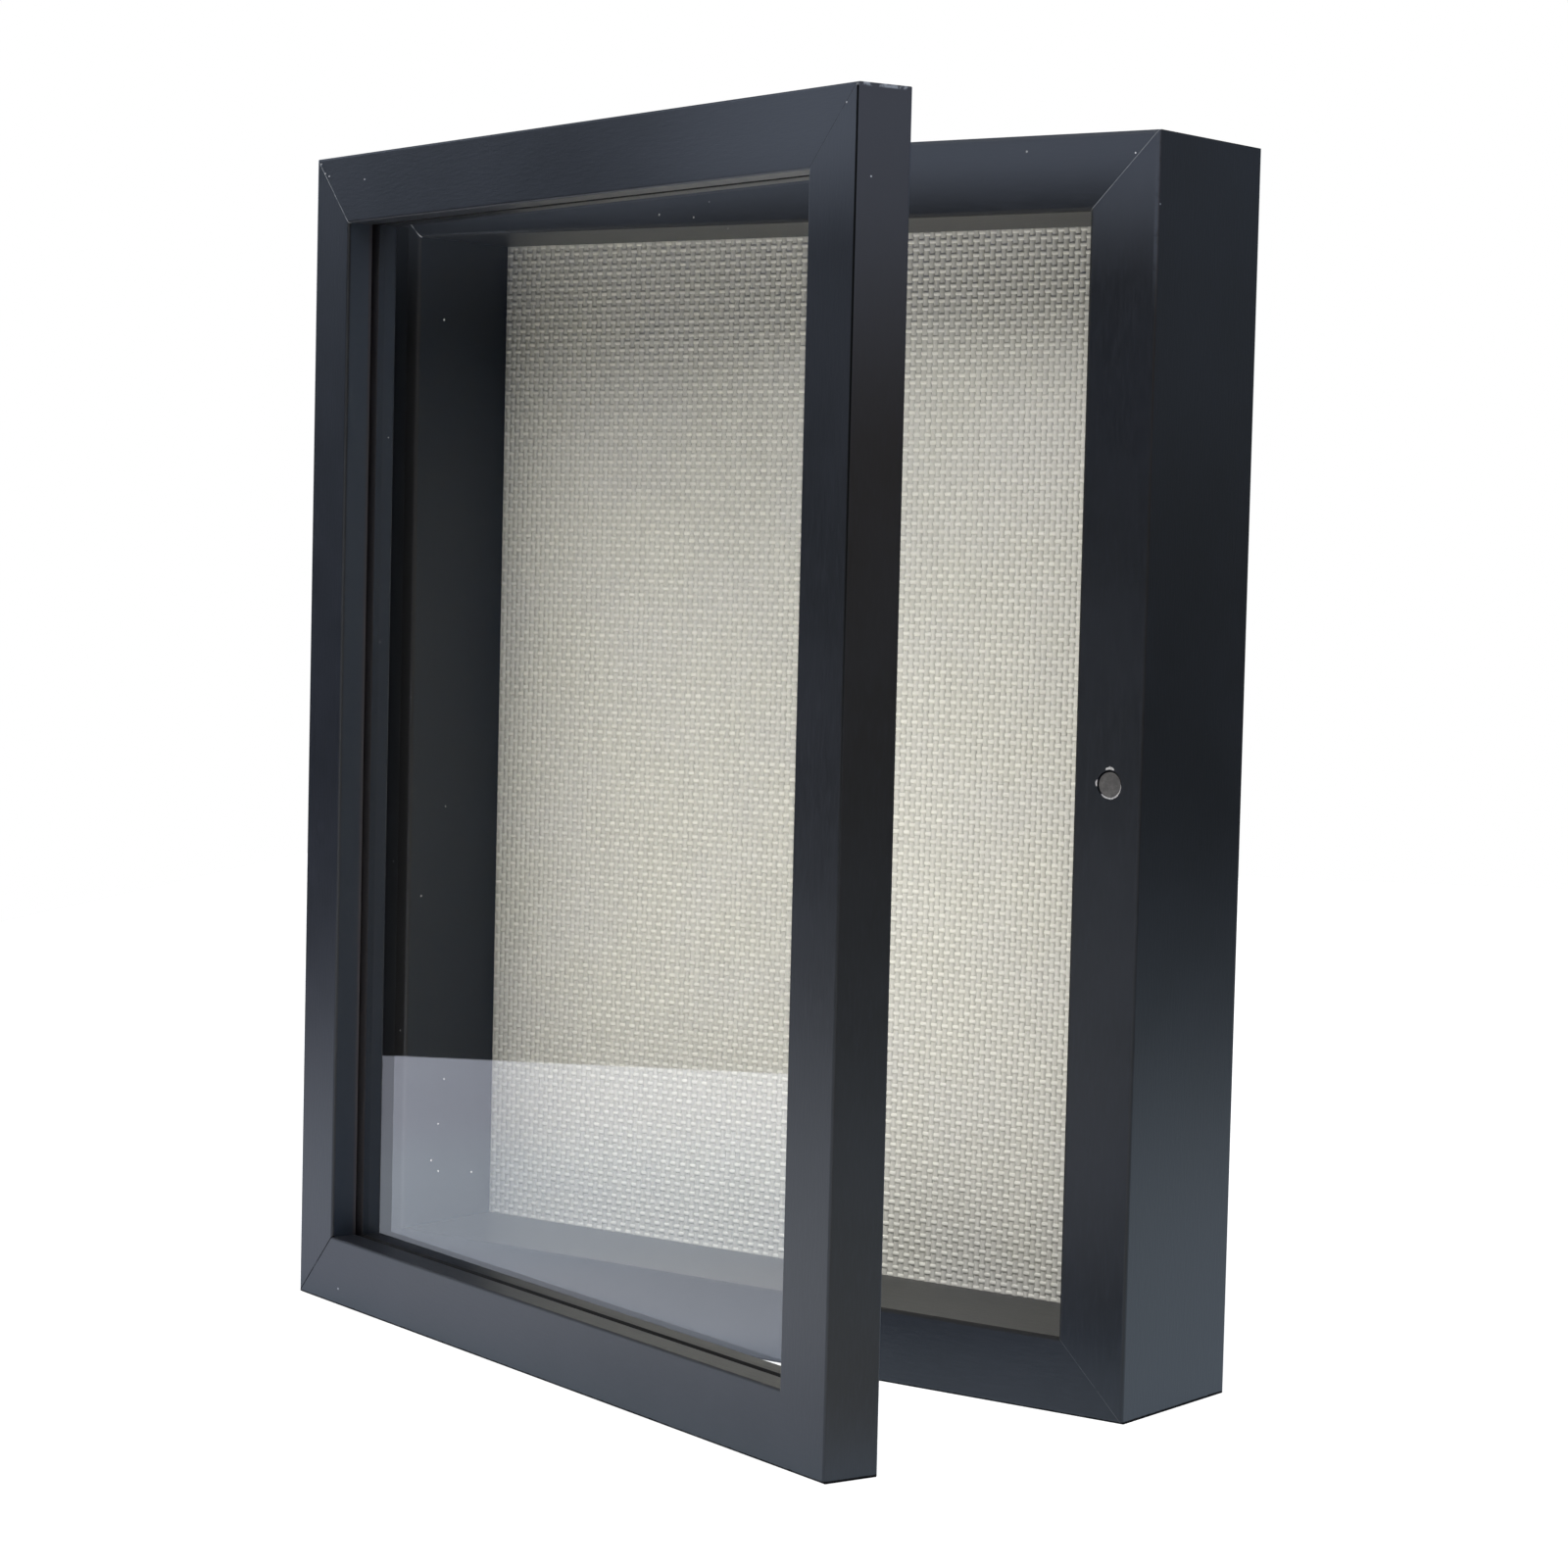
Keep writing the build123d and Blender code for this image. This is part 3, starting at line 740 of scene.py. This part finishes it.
def grown(name, tree, sizes):
    """The mesh that a geometry tree makes from these sizes, named as its inputs are."""
    host = bpy.data.objects.new(name, bpy.data.meshes.new(name + "_host"))
    bpy.context.scene.collection.objects.link(host)
    grower = host.modifiers.new("grower", "NODES")
    grower.node_group = tree
    for item in tree.interface.items_tree:
        if item.in_out == "INPUT" and item.name in sizes:
            grower[item.identifier] = sizes[item.name]
    bpy.context.view_layer.update()
    evaluated = host.evaluated_get(bpy.context.evaluated_depsgraph_get())
    mesh = bpy.data.meshes.new_from_object(evaluated)
    host.modifiers.clear()
    bpy.data.objects.remove(host)
    mesh.name = name
    return mesh


def geometry_tree(name, inputs):
    """An empty geometry tree with one geometry output, and its inputs as signals."""
    tree = bpy.data.node_groups.new(name, "GeometryNodeTree")
    tree.interface.new_socket(name="Geometry", in_out="OUTPUT", socket_type="NodeSocketGeometry")
    for label, kind in inputs.items():
        tree.interface.new_socket(name=label, in_out="INPUT", socket_type=kind)
    nodes = Nodes(tree)
    entry = nodes.add("NodeGroupInput")
    return nodes, {label: nodes.again(entry, label) for label in inputs}


# ------------------------------------------------------------ linen: its yarns, woven one over one
WARP_PITCH = 2.22 * MM
WEFT_PITCH = 2.5 * MM
WARP_YARNS = int((linen_high.x - linen_low.x) / WARP_PITCH)
WEFT_YARNS = int((linen_high.z - linen_low.z) / WEFT_PITCH)
FIRST_WARP = -(WARP_YARNS - 1) / 2 * WARP_PITCH
FIRST_WEFT = (linen_low.z + linen_high.z) / 2 - (WEFT_YARNS - 1) / 2 * WEFT_PITCH
POINTS_PER_CROSSING = 2
YARN_SIDES = 6
FLOAT = "NodeSocketFloat"


def yarn_tree():
    """Yarns along +X, one above the other, each passing in front of and behind the yarns that cross
    it. Turn then stands them upright, and Place moves them to the cloth."""
    nodes, size = geometry_tree(
        "yarns",
        {
            "Yarns": "NodeSocketInt",
            "First Yarn": "NodeSocketInt",
            "Crossings": "NodeSocketInt",
            "Yarn Pitch": FLOAT,
            "Crossing Pitch": FLOAT,
            "Rise": FLOAT,
            "Yarn Width": FLOAT,
            "Yarn Thickness": FLOAT,
            "Phase": FLOAT,
            "Wander": FLOAT,
            "Seed": FLOAT,
            "Turn": "NodeSocketVector",
            "Place": "NodeSocketVector",
            "Finish": "NodeSocketMaterial",
        },
    )

    def vector(x=0.0, y=0.0, z=0.0):
        return nodes.add("ShaderNodeCombineXYZ", None, {0: x, 1: y, 2: z})

    def wandering(scale_along, scale_across, seed):
        """Slow noise along each yarn, different from yarn to yarn."""
        x, _, z = nodes.axes(nodes.add("GeometryNodeInputPosition"))
        return nodes.add(
            "ShaderNodeTexNoise",
            {"noise_dimensions": "3D"},
            {
                "Vector": vector(x * scale_along, size["Seed"] + seed, z * scale_across),
                "Scale": 1.0,
                "Detail": 2.0,
            },
        )

    starts = nodes.add(
        "GeometryNodeMeshLine",
        {"mode": "OFFSET"},
        {
            "Count": size["Yarns"],
            "Start Location": vector(
                size["Crossing Pitch"] * -0.5, 0.0, size["First Yarn"] * size["Yarn Pitch"]
            ),
            "Offset": vector(z=size["Yarn Pitch"]),
        },
    )
    run = nodes.add(
        "GeometryNodeCurvePrimitiveLine",
        None,
        {"Start": (0, 0, 0), "End": vector(size["Crossings"] * size["Crossing Pitch"])},
    )
    points = size["Crossings"] * POINTS_PER_CROSSING + 1
    run = nodes.add("GeometryNodeResampleCurve", None, {"Curve": run, "Count": points})
    yarns = nodes.add("GeometryNodeInstanceOnPoints", None, {"Points": starts, "Instance": run})
    yarns = nodes.add("GeometryNodeRealizeInstances", None, {"Geometry": yarns})
    x, _, z = nodes.axes(nodes.add("GeometryNodeInputPosition"))
    turns = x / size["Crossing Pitch"] + z / size["Yarn Pitch"] + size["Phase"]
    weaving = (turns * math.pi).cosine() * size["Rise"] * -1.0
    aside = (wandering(scale_along=18.0, scale_across=700.0, seed=0.0) - 0.5) * size["Wander"]
    yarns = nodes.add(
        "GeometryNodeSetPosition", None, {"Geometry": yarns, "Offset": vector(0.0, weaving, aside)}
    )
    # Yarns vary in thickness, with a thick slub here and there
    slub = wandering(scale_along=70.0, scale_across=900.0, seed=5.0)
    fullness = 0.86 + slub * 0.22 + slub.eased(0.62, 0.75) * 0.22
    yarns = nodes.add("GeometryNodeSetCurveRadius", None, {"Curve": yarns, "Radius": fullness})
    yarns = nodes.add("GeometryNodeSetCurveNormal", {"mode": "Z_UP"}, {"Curve": yarns})
    section = nodes.add(
        "GeometryNodeCurvePrimitiveCircle",
        {"mode": "RADIUS"},
        {"Resolution": YARN_SIDES, "Radius": 0.5},
    )
    section = nodes.add(
        "GeometryNodeTransform",
        None,
        {"Geometry": section, "Scale": vector(size["Yarn Thickness"], size["Yarn Width"], 1.0)},
    )
    cloth = nodes.add(
        "GeometryNodeCurveToMesh",
        None,
        {"Curve": yarns, "Profile Curve": section, "Fill Caps": True},
    )
    cloth = nodes.add(
        "GeometryNodeTransform",
        None,
        {"Geometry": cloth, "Rotation": size["Turn"], "Translation": size["Place"]},
    )
    cloth = nodes.add("GeometryNodeSetShadeSmooth", None, {"Geometry": cloth})
    cloth = nodes.add(
        "GeometryNodeSetMaterial", None, {"Geometry": cloth, "Material": size["Finish"]}
    )
    nodes.add("NodeGroupOutput", None, {0: cloth})
    return nodes.tree


def mapped_flat(mesh):
    """Gives cloth a map that is the board's front seen straight on: each yarn has its own place."""
    layer = mesh.uv_layers.new(name="OFBake")
    wide, tall = linen_high.x - linen_low.x, linen_high.z - linen_low.z
    for corner in mesh.loops:
        point = mesh.vertices[corner.vertex_index].co
        flat = ((point.x - linen_low.x) / wide, (point.z - linen_low.z) / tall)
        layer.data[corner.index].uv = flat


weave = yarn_tree()
cloth_face = linen_low.y + 0.45 * MM  # the depth that the yarns weave about
WEFT = {
    "Crossings": WARP_YARNS,
    "Yarn Pitch": WEFT_PITCH,
    "Crossing Pitch": WARP_PITCH,
    "Rise": 0.27 * MM,
    "Yarn Width": 1.75 * MM,
    "Yarn Thickness": 0.5 * MM,
    "Phase": 0.0,
    "Wander": 0.7 * MM,
    "Seed": 3.0,
    "Place": (FIRST_WARP, cloth_face, FIRST_WEFT),
    "Finish": weft_linen,
}
WARP = {
    "Crossings": WEFT_YARNS,
    "Yarn Pitch": WARP_PITCH,
    "Crossing Pitch": WEFT_PITCH,
    "Rise": 0.12 * MM,
    "Yarn Width": 2.45 * MM,
    "Yarn Thickness": 0.36 * MM,
    "Phase": WARP_YARNS,
    "Wander": 0.3 * MM,
    "Seed": 40.0,
    "Turn": (0.0, -math.pi / 2, 0.0),
    "Place": (-FIRST_WARP, cloth_face, FIRST_WEFT),
    "Finish": warp_linen,
}
# The cloth is made in bands: a band's name, its yarns' sizes, its first yarn and how many it has
BANDS = [
    ("linen_weft_low", WEFT, 0, 50),
    ("linen_weft_middle", WEFT, 50, 50),
    ("linen_weft_high", WEFT, 100, WEFT_YARNS - 100),
    ("linen_warp_left", WARP, 90, WARP_YARNS - 90),
    ("linen_warp_middle", WARP, 45, 45),
    ("linen_warp_right", WARP, 0, 45),
]
for name, sizes, first, count in BANDS:
    mesh = grown(name, weave, {"Yarns": count, "First Yarn": first, **sizes})
    mapped_flat(mesh)
    piece_from(name, mesh, "case")

CLOTH_GAUGE = 0.3 * MM
FLAP = 25.0 * MM  # turned over the board's rear on each side


def wrapped_linen():
    """The ground of the cloth: over the board's front, round its edges and folded over its rear."""
    front = linen_low.y + 0.75 * MM
    rear = linen_high.y - CLOTH_GAUGE
    low_x, high_x = linen_low.x + CLOTH_GAUGE, linen_high.x - CLOTH_GAUGE
    low_z, high_z = linen_low.z + CLOTH_GAUGE, linen_high.z - CLOTH_GAUGE
    # Rings of the cloth, each with its depth and how far it lies in from the board's edges
    rings = [
        (front, 40.0 * MM),
        (front, 2.0 * MM),
        (front, 0.0),
        (rear, 0.0),
        (rear, 2.0 * MM),
        (rear, FLAP),
    ]
    shell = bmesh.new()
    loops = []
    for y, inset in rings:
        corners = [
            (low_x + inset, y, low_z + inset),
            (high_x - inset, y, low_z + inset),
            (high_x - inset, y, high_z - inset),
            (low_x + inset, y, high_z - inset),
        ]
        loops.append([shell.verts.new(corner) for corner in corners])
    shell.faces.new(loops[0])
    for ring, following in zip(loops, loops[1:]):
        join_rings(shell, ring, following)
    return finished_shell("linen", shell)


linen = piece_from("linen", wrapped_linen(), "case", ground_linen)
thickness = linen.modifiers.new("thickness", "SOLIDIFY")
thickness.thickness = CLOTH_GAUGE
thickness.offset = -1.0
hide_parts("linen_cover")


# ------------------------------------------------------------ torn foil round the magnet's hole
HOLE_RADIUS = (magnet_high.x - magnet_low.x) / 2 + 0.5 * MM
FOIL_GAUGE = 0.09 * MM
STATIONS = 16
# Slivers of foil: from and to in degrees, then how far its two long edges lie past the
# hole's radius, and their depths, in millimetres
SLIVERS = [
    (72, 108, 0.30, 1.25, -0.06, -0.02),
    (162, 190, -0.05, 0.75, -0.18, -0.02),
    (226, 365, -0.45, 0.15, 0.22, -0.06),
]


def torn_foil():
    """Pale slivers of the foil's torn edge: above the hole, at its left, and a long one below."""
    tears = Random(11)
    shell = bmesh.new()
    for start, end, inner, outer, inner_depth, outer_depth in SLIVERS:
        sections = []
        for station in range(STATIONS + 1):
            share = station / STATIONS
            angle = math.radians(start + (end - start) * share)
            swell = math.sin(math.pi * share) ** 0.5
            inner_radius = HOLE_RADIUS + (inner + tears.uniform(-0.05, 0.05)) * MM
            breadth = (outer - inner) * (0.15 + 0.85 * swell) * tears.uniform(0.75, 1.1) * MM
            ring = []
            edges = ((inner_radius, inner_depth), (inner_radius + breadth, outer_depth))
            for radius, depth in edges:
                x = magnet_middle.x + math.cos(angle) * radius
                z = magnet_middle.z + math.sin(angle) * radius
                ring.append((x, case_front + depth * MM, z))
            ring += [(x, y + FOIL_GAUGE, z) for x, y, z in reversed(ring)]
            sections.append([shell.verts.new(point) for point in ring])
        for section, following in zip(sections, sections[1:]):
            join_rings(shell, section, following)
        shell.faces.new(sections[0])
        shell.faces.new(sections[-1])
    return finished_shell("torn_foil", shell)


piece_from("torn_foil", torn_foil(), "case", torn_edge)


# ------------------------------------------------------------ surroundings, light and camera
TABLE_ACROSS = Vector((0.907, 0.423, 0.0)).normalized()  # along the table's front edge
TABLE_LEFT, TABLE_RIGHT = -0.79, 0.74
TABLE_FRONT, TABLE_REAR = 1.5, -2.0
TABLE_BODY = grey(0.30)

# The table's glow, a painted light on the object from the table's far and near parts.
# It is dimmer at the near left and under the door: a painted shadow of the door.
GLOW_LEFT_FAR = (4.1, 3.9, 2.9, 1.0)
GLOW_LEFT_NEAR = (1.2, 1.25, 2.0, 1.0)
GLOW_UNDER_DOOR = (1.33, 1.3, 1.4, 1.0)
GLOW_MIDDLE_NEAR = (4.3, 4.15, 3.4, 1.0)
GLOW_RIGHT_NEAR = (2.6, 2.3, 2.0, 1.0)

# The table's glow as mirrored in the object, a painted reflection: from the table's left to its
# right, then by the door.
# It is darker at the door's foot, under the door and beside the case: a painted shadow of the
# object.
MIRRORED_EDGE = (0.73, 0.78, 0.98, 1.0)
MIRRORED_LEFT = (0.82, 0.93, 1.12, 1.0)
MIRRORED_BEFORE_LEFT = (0.92, 0.99, 1.16, 1.0)
MIRRORED_BEFORE_RIGHT = (0.38, 0.46, 0.66, 1.0)
# Painted shadow of the object in the mirrored table: at the door's foot, under it and beside the
# case
MIRRORED_FOOT_LEFT = (0.70, 0.75, 0.95, 1.0)
MIRRORED_FOOT_RIGHT = (0.36, 0.44, 0.64, 1.0)
MIRRORED_UNDER_DOOR = (0.48, 0.62, 0.78, 1.0)
MIRRORED_BESIDE_CASE = (0.22, 0.20, 0.14, 1.0)
MIRRORED_BEFORE_LATCH = (1.0, 1.05, 1.2, 1.0)

TABLE_WHITE = grey(0.90)
BACKDROP_WHITE = grey(1.0)

# Soft lamps high before the object: azimuth from +X and height, in degrees, and their light
LAMPS = [
    (240, 45, (5.9, 5.95, 5.85)),
    (265, 45, (2.4, 2.2, 2.1)),
    (290, 45, (3.4, 3.45, 3.4)),
]
# Walls of the room that light the object: azimuth in degrees, and the light of each
LIT_WALLS = [(0, (2.9, 3.35, 3.55)), (120, (1.2, 1.35, 1.27))]
# Walls of the room that are mirrored in the foil, and the light at the foot of the walls
MIRRORED_WALLS = [
    (0, (0.7, 0.66, 0.8)),
    (40, (0.55, 0.32, 0.18)),
    (80, (0.15, 0.42, 0.72)),
    (160, (2.4, 2.75, 3.4)),
    (240, (0.0, 0.06, 0.22)),
]
MIRRORED_SKIRTINGS = [(0, (0.5, 0.36, 0.02)), (80, (0.2, 0.22, 0.2))]
LIGHT_FROM_BELOW = (0.38, 0.43, 0.86, 1.0)
# A lamp is full up to the first of these angles from its middle and ends at the second, in degrees
LAMP_EDGE = (4, 32)
# A wall's half width in degrees, then the heights between which it comes up, and fades out again
LIT_WALL = (60, (0.1, 0.3), (0.85, 0.5))
MIRRORED_WALL = (40, (0.05, 0.15), (0.5, 0.25))
MIRRORED_SKIRTING = (40, (-0.08, 0.0), (0.15, 0.05))


def table_finish():
    """A white table top. It glows by itself, so that it stays white under soft light. Its glow is
    also a painted light from below on the object, and it is mirrored in the object as a painted
    reflection with a cooler and dimmer light."""
    f = Finish("white_table")
    path = f.add("ShaderNodeLightPath", out="Is Camera Ray")
    glossy = f.again(path, "Is Glossy Ray")
    seen = path.larger(f.again(path, "Is Transmission Ray"))
    x, y, _ = f.axes(f.place)
    before_door = door_front - f.axes(f.place_on_door())[1]
    under_door = before_door.eased(20 * MM, 0.0)
    left, right = x.eased(0.0, -0.25), x.eased(0.15, 0.30)
    middle = (1.0 - left) * (1.0 - right)
    near = y.eased(-0.40, -0.20)
    close = near * (1.0 - under_door)

    # Painted light from the table, with the door's painted shadow under it
    glow = grey(0.0)
    for share, light in (
        (left * (1.0 - near), GLOW_LEFT_FAR),
        (left * near, GLOW_LEFT_NEAR),
        (middle * under_door, GLOW_UNDER_DOOR),
        (middle * close, GLOW_MIDDLE_NEAR),
        (right * close, GLOW_RIGHT_NEAR),
    ):
        glow = f.mixed(share, glow, light, "ADD")

    # Painted reflection of the table, with the object's painted shadow at its foot
    mirrored = MIRRORED_LEFT
    for share, light in (
        (x.eased(-0.40, -0.60), MIRRORED_EDGE),
        (x.eased(-0.25, -0.14), MIRRORED_BEFORE_LEFT),
        (x.eased(-0.08, 0.02), MIRRORED_BEFORE_RIGHT),
        (
            before_door.eased(75 * MM, 50 * MM),
            f.mixed(x.eased(-0.21, 0.0), MIRRORED_FOOT_LEFT, MIRRORED_FOOT_RIGHT),
        ),
        (x.eased(0.15, 0.35), grey(0.0)),
        (before_door.eased(30 * MM, 0.0), MIRRORED_UNDER_DOOR),
        (x.eased(0.15, 0.25) * y.eased(0.0, -0.12), MIRRORED_BESIDE_CASE),
        (x.eased(0.10, 0.20) * y.eased(-0.25, -0.35), MIRRORED_BEFORE_LATCH),
    ):
        mirrored = f.mixed(share, mirrored, light)

    glow = f.mixed(glossy, glow, mirrored)
    glow = f.mixed(seen, glow, TABLE_WHITE)
    lit = f.add("ShaderNodeBsdfDiffuse", None, {"Color": TABLE_BODY})
    shine = f.add("ShaderNodeEmission", None, {"Color": glow})
    return f.done(f.add("ShaderNodeAddShader", None, {0: lit, 1: shine}))


def table():
    """The table that the case stands on. Its left edge is open and shows in the pane."""
    along = Vector((TABLE_ACROSS.y, -TABLE_ACROSS.x, 0.0))
    outline = [
        TABLE_ACROSS * TABLE_LEFT + along * TABLE_FRONT,
        TABLE_ACROSS * TABLE_RIGHT + along * TABLE_FRONT,
        TABLE_ACROSS * TABLE_RIGHT + along * TABLE_REAR,
        TABLE_ACROSS * TABLE_LEFT + along * TABLE_REAR,
    ]
    mesh = bpy.data.meshes.new("table")
    mesh.from_pydata([tuple(corner) for corner in outline], [], [(0, 1, 2, 3)])
    mesh.materials.append(table_finish())
    top = bpy.data.objects.new("table", mesh)
    bpy.context.scene.collection.objects.link(top)


def studio_world():
    """White behind the object for whatever looks through to it, a room with a few bright walls in
    reflections, and soft light from above its front for everything else."""
    world = bpy.data.worlds.new("studio")
    bpy.context.scene.world = world
    world.use_nodes = True
    nodes = Nodes(world.node_tree)
    way = nodes.add("ShaderNodeTexCoord", out="Generated")
    sideways, inwards, up = nodes.axes(way)
    level = (1.0 - up * up).larger(1e-6) ** 0.5
    path = nodes.add("ShaderNodeLightPath", out="Is Camera Ray")
    seen = path.larger(nodes.again(path, "Is Transmission Ray"))
    glossy = nodes.again(path, "Is Glossy Ray")

    def facing(azimuth):
        azimuth = math.radians(azimuth)
        return sideways * math.cos(azimuth) + inwards * math.sin(azimuth)

    def angle_of(cosine):
        return cosine.maths("ARCCOSINE", cosine.smaller(1.0).larger(-1.0))

    def lamp(azimuth, height):
        height = math.radians(height)
        angle = angle_of(facing(azimuth) * math.cos(height) + up * math.sin(height))
        full, end = LAMP_EDGE
        return angle.eased(math.radians(end), math.radians(full))

    def wall(azimuth, half_width, low, high):
        angle = angle_of(facing(azimuth) / level)
        return angle.eased(math.radians(half_width), 0.0) * up.eased(*low) * up.eased(*high)

    light = nodes.mixed(up.eased(0.0, -0.15), grey(0.0), LIGHT_FROM_BELOW)
    for azimuth, height, colour in LAMPS:
        light = nodes.mixed(lamp(azimuth, height), light, colour + (1.0,), "ADD")
    for azimuth, colour in LIT_WALLS:
        light = nodes.mixed(wall(azimuth, *LIT_WALL), light, colour + (1.0,), "ADD")
    room = grey(0.0)
    for azimuth, colour in MIRRORED_WALLS:
        room = nodes.mixed(wall(azimuth, *MIRRORED_WALL), room, colour + (1.0,), "ADD")
    for azimuth, colour in MIRRORED_SKIRTINGS:
        room = nodes.mixed(wall(azimuth, *MIRRORED_SKIRTING), room, colour + (1.0,), "ADD")
    light = nodes.mixed(glossy, light, room)
    light = nodes.mixed(seen, light, BACKDROP_WHITE)
    background = nodes.add("ShaderNodeBackground", None, {"Color": light, "Strength": 1.0})
    nodes.add("ShaderNodeOutputWorld", None, {"Surface": background})


# Where the camera stands, in metres, how it is turned, in radians, and its lens in millimetres
CAMERA_PLACE = (0.78649, -1.06385, 0.27401)
CAMERA_YAW, CAMERA_PITCH, CAMERA_ROLL = 0.634818, -0.061813, 0.023815
CAMERA_LENS, CAMERA_SENSOR = 88.51, 36.0


def camera():
    """A long lens that looks at the object's open side from its front right."""
    data = bpy.data.cameras.new("camera")
    data.sensor_width = CAMERA_SENSOR
    data.lens = CAMERA_LENS
    view = bpy.data.objects.new("camera", data)
    turn = (
        Matrix.Rotation(CAMERA_YAW, 4, "Z")
        @ Matrix.Rotation(math.pi / 2 + CAMERA_PITCH, 4, "X")
        @ Matrix.Rotation(CAMERA_ROLL, 4, "Z")
    )
    view.matrix_world = Matrix.Translation(CAMERA_PLACE) @ turn
    bpy.context.scene.collection.objects.link(view)
    bpy.context.scene.camera = view


table()
studio_world()
camera()
bpy.context.scene.view_settings.view_transform = "Standard"
